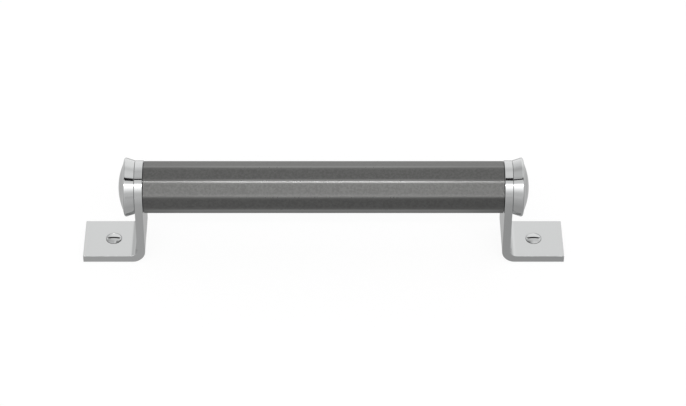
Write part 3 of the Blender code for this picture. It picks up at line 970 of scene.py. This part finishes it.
# Where each tone starts and ends turning into the next
LEFT_TO_RIGHT = (-90 * MM, 90 * MM)
PAST_BRACKETS = (70 * MM, 100 * MM)
TO_FAR_BACK = (50 * MM, 250 * MM)
PAST_HANDLE = (0, 8 * MM)
GRIP_ALONG = (50 * MM, 65 * MM)
GRIP_ACROSS = (6 * MM, 14 * MM)


def flat_sheet(name, half_width, height, material):
    """A square sheet of the stage, which lies flat at this height."""
    mesh = bmesh.new()
    lift = Matrix.Translation((0, 0, height))
    bmesh.ops.create_grid(mesh, x_segments=1, y_segments=1, size=half_width, matrix=lift)
    sheet = new_piece(name, mesh)
    sheet.data.materials.append(material)
    return sheet


def matt_board():
    """Painted board: an even matt white, with no gloss."""
    paint = {
        "Base Color": (FLOOR_ANSWER, FLOOR_ANSWER, FLOOR_ANSWER, 1.0),
        "Roughness": 1.0,
        "Specular IOR Level": 0.0,
        "Emission Color": (1.0, 1.0, 1.0, 1.0),
    }
    material, tree, shader = new_material("matt_board", paint)
    path = add_node(tree, "ShaderNodeLightPath").outputs
    seen = calc(tree, "MAXIMUM", path["Is Camera Ray"], path["Is Glossy Ray"])
    seen = calc(tree, "MAXIMUM", seen, path["Is Transmission Ray"])
    lift = calc(tree, "MULTIPLY", seen, FLOOR_WHITE - FLOOR_ANSWER)
    tree.links.new(lift.outputs[0], shader.inputs["Emission Strength"])
    return material


def shadow_reflection_card():
    """A card that greys what the metal mirrors of the floor, most of all near the handle: a
    painted reflection, with the handle's shadow painted into it near, behind and under the grip.
    """
    material = bpy.data.materials.new("shadow_reflection_card")
    material.use_nodes = True
    tree = material.node_tree
    tree.nodes.clear()
    spot = add_node(tree, "ShaderNodeTexCoord").outputs["Object"]
    part = add_node(tree, "ShaderNodeSeparateXYZ", {"Vector": spot}).outputs
    aside = calc(tree, "ABSOLUTE", part["X"])
    away = calc(tree, "MAXIMUM", calc(tree, "ABSOLUTE", part["Y"]), MM)
    fall = calc(tree, "SUBTRACT", CARD_FAR, calc(tree, "DIVIDE", CARD_FALL, away))
    sideways = ease(tree, part["X"], *LEFT_TO_RIGHT, *CARD_SHARES)
    in_front = calc(tree, "MULTIPLY", calc(tree, "MAXIMUM", fall, CARD_SHADE_NEAR), sideways)
    beyond = ease(tree, aside, *PAST_BRACKETS, CARD_SHADE_BEHIND, CARD_BEYOND)
    behind = ease(tree, part["Y"], *TO_FAR_BACK, beyond, CARD_FAR_BACK)
    past_handle = ease(tree, part["Y"], *PAST_HANDLE)
    open_floor = add_node(tree, "ShaderNodeMix", {"Factor": past_handle, 2: in_front, 3: behind})
    # Painted shadow of the grip on the floor, as the metal mirrors it
    between_ends = ease(tree, aside, *GRIP_ALONG, 1.0, 0.0)
    below_width = ease(tree, away, *GRIP_ACROSS, 1.0, 0.0)
    painted_grip_shadow = calc(tree, "MULTIPLY", between_ends, below_width)
    tone = add_node(tree, "ShaderNodeMix", {"Factor": painted_grip_shadow, 2: open_floor, 3: CARD_SHADE_UNDER})
    glow = add_node(tree, "ShaderNodeEmission", {"Strength": tone})
    add_node(tree, "ShaderNodeOutputMaterial", {"Surface": glow})
    return material


flat_sheet("studio_floor", FLOOR_HALF, -FLOOR_DROP, matt_board())
card = flat_sheet("studio_card", FLOOR_HALF, CARD_LIFT, shadow_reflection_card())
card.visible_camera = False
card.visible_diffuse = False
card.visible_transmission = False
card.visible_volume_scatter = False
card.visible_shadow = False


# Studio light
# A tent of white cloth, lit from behind. It is brighter along a strip at the front, with a
# narrow light tube in the upper half of that strip, and higher up hangs a thin black batten
# that widens to the right. The polished metal mirrors them as its white band and black line.

# Brightness of the tent against the angle from the front horizon (0) over the top (90) to
# the back horizon (180), in degrees
TENT = [
    (0, 0.76),
    (12, 0.79),
    (20, 0.97),
    (29, 1.40),
    (37, 1.80),
    (43, 2.15),
    (46.8, 2.4),
    (47.3, 12.4),
    (49.7, 12.4),
    (50.2, 2.2),
    (53, 1.8),
    (55.5, 1.3),
    (60, 1.0),
    (69, 0.98),
    (81, 0.78),
    (88, 0.93),
    (102, 0.93),
    (115, 0.87),
    (124, 0.92),
    (132, 1.03),
    (141, 1.19),
    (152, 1.21),
    (180, 1.24),
]
TENT_BRIGHTEST = max(brightness for degrees, brightness in TENT)

# The degrees over which the front turns into the roof, and the roof into the back wall
ROOF_FROM = (72, 82)
BACK_FROM = (108, 126)

# Shares and tones at the left and at the right, and between which parts of a direction along
# X the one turns into the other
ROOF_SHARES = (0.84, 1.14)
ROOF_SIDEWAYS = (-0.10, 0.10)
BACK_SHARES = (0.64, 1.0)
BACK_SIDEWAYS = (-0.46, -0.08)
TENT_ENDS = (0.78, 0.82)
END_TO_END = (-0.5, 0.5)
END_FROM = (0.50, 0.74)
BATTEN_ANGLE = 74.4
BATTEN_HALF = (2.8, 6.2)
BATTEN_SIDEWAYS = (-0.10, 0.12)
BATTEN_EDGE = 1.2
BATTEN_DARK = 0.02


def tent_light():
    """The tent as the only light: a tone for each direction, from how far over the handle and
    how far to its left or right that direction points."""
    world = bpy.data.worlds.new("studio_tent")
    world.use_nodes = True
    bpy.context.scene.world = world
    tree = world.node_tree
    tree.nodes.clear()
    way = add_node(tree, "ShaderNodeTexCoord").outputs["Generated"]
    part = add_node(tree, "ShaderNodeSeparateXYZ", {"Vector": way}).outputs
    forwards = calc(tree, "MULTIPLY", part["Y"], -1)
    radians = calc(tree, "ARCTAN2", part["Z"], forwards)
    angle = calc(tree, "MULTIPLY", radians, 180 / math.pi)
    over = calc(tree, "DIVIDE", angle, 180)
    ramp = add_node(tree, "ShaderNodeValToRGB", {"Fac": over})
    stops = ramp.color_ramp.elements
    stops.remove(stops[0])
    for number, (degrees, brightness) in enumerate(TENT):
        stop = stops[0] if number == 0 else stops.new(degrees / 180)
        stop.position = degrees / 180
        level = brightness / TENT_BRIGHTEST
        stop.color = (level, level, level, 1.0)
    cloth = calc(tree, "MULTIPLY", ramp.outputs["Color"], TENT_BRIGHTEST)

    # The batten hides the cloth within its half width, which grows towards the right
    widening = ease(tree, part["X"], *BATTEN_SIDEWAYS, *BATTEN_HALF)
    off_batten = calc(tree, "ABSOLUTE", calc(tree, "SUBTRACT", angle, BATTEN_ANGLE))
    past_edge = calc(tree, "SUBTRACT", off_batten, widening)
    bared = ease(tree, past_edge, -BATTEN_EDGE / 2, BATTEN_EDGE / 2, BATTEN_DARK, 1.0)
    front = calc(tree, "MULTIPLY", cloth, bared)

    # The roof grows brighter to the right, and the back wall stands in shade on the left
    roof = ease(tree, part["X"], *ROOF_SIDEWAYS, *ROOF_SHARES)
    back = ease(tree, part["X"], *BACK_SIDEWAYS, *BACK_SHARES)
    past_roof = ease(tree, angle, *BACK_FROM)
    upper = add_node(tree, "ShaderNodeMix", {"Factor": past_roof, 2: roof, 3: back})
    past_front = ease(tree, angle, *ROOF_FROM)
    change = add_node(tree, "ShaderNodeMix", {"Factor": past_front, 2: 1.0, 3: upper})
    uneven = calc(tree, "MULTIPLY", front, change)
    at_end = ease(tree, calc(tree, "ABSOLUTE", part["X"]), *END_FROM)
    end = ease(tree, part["X"], *END_TO_END, *TENT_ENDS)
    tone = add_node(tree, "ShaderNodeMix", {"Factor": at_end, 2: uneven, 3: end})
    glow = add_node(tree, "ShaderNodeBackground", {"Color": (1, 1, 1, 1), "Strength": tone})
    add_node(tree, "ShaderNodeOutputWorld", {"Surface": glow})


tent_light()


# Camera
# The photograph's viewpoint: straight in front of the handle and above it, 41.4 degrees
# down, from about a metre, with the handle a little left of the picture's middle.

IMAGE_WIDTH = 686
FOCAL_PIXELS = 2655.33
HANDLE_CENTRE_PIXEL = 323.62
CAMERA_DOWN = math.radians(41.418)
CAMERA_PLACE = (0, -0.75067, 0.68326)

camera = bpy.data.cameras.new("camera")
camera.sensor_width = 36
camera.lens = camera.sensor_width * FOCAL_PIXELS / IMAGE_WIDTH
camera.shift_x = (IMAGE_WIDTH / 2 - HANDLE_CENTRE_PIXEL) / IMAGE_WIDTH
viewer = bpy.data.objects.new("camera", camera)
viewer.location = CAMERA_PLACE
viewer.rotation_euler = (math.pi / 2 - CAMERA_DOWN, 0, 0)
bpy.context.scene.collection.objects.link(viewer)
bpy.context.scene.camera = viewer
bpy.context.scene.view_settings.view_transform = "Standard"
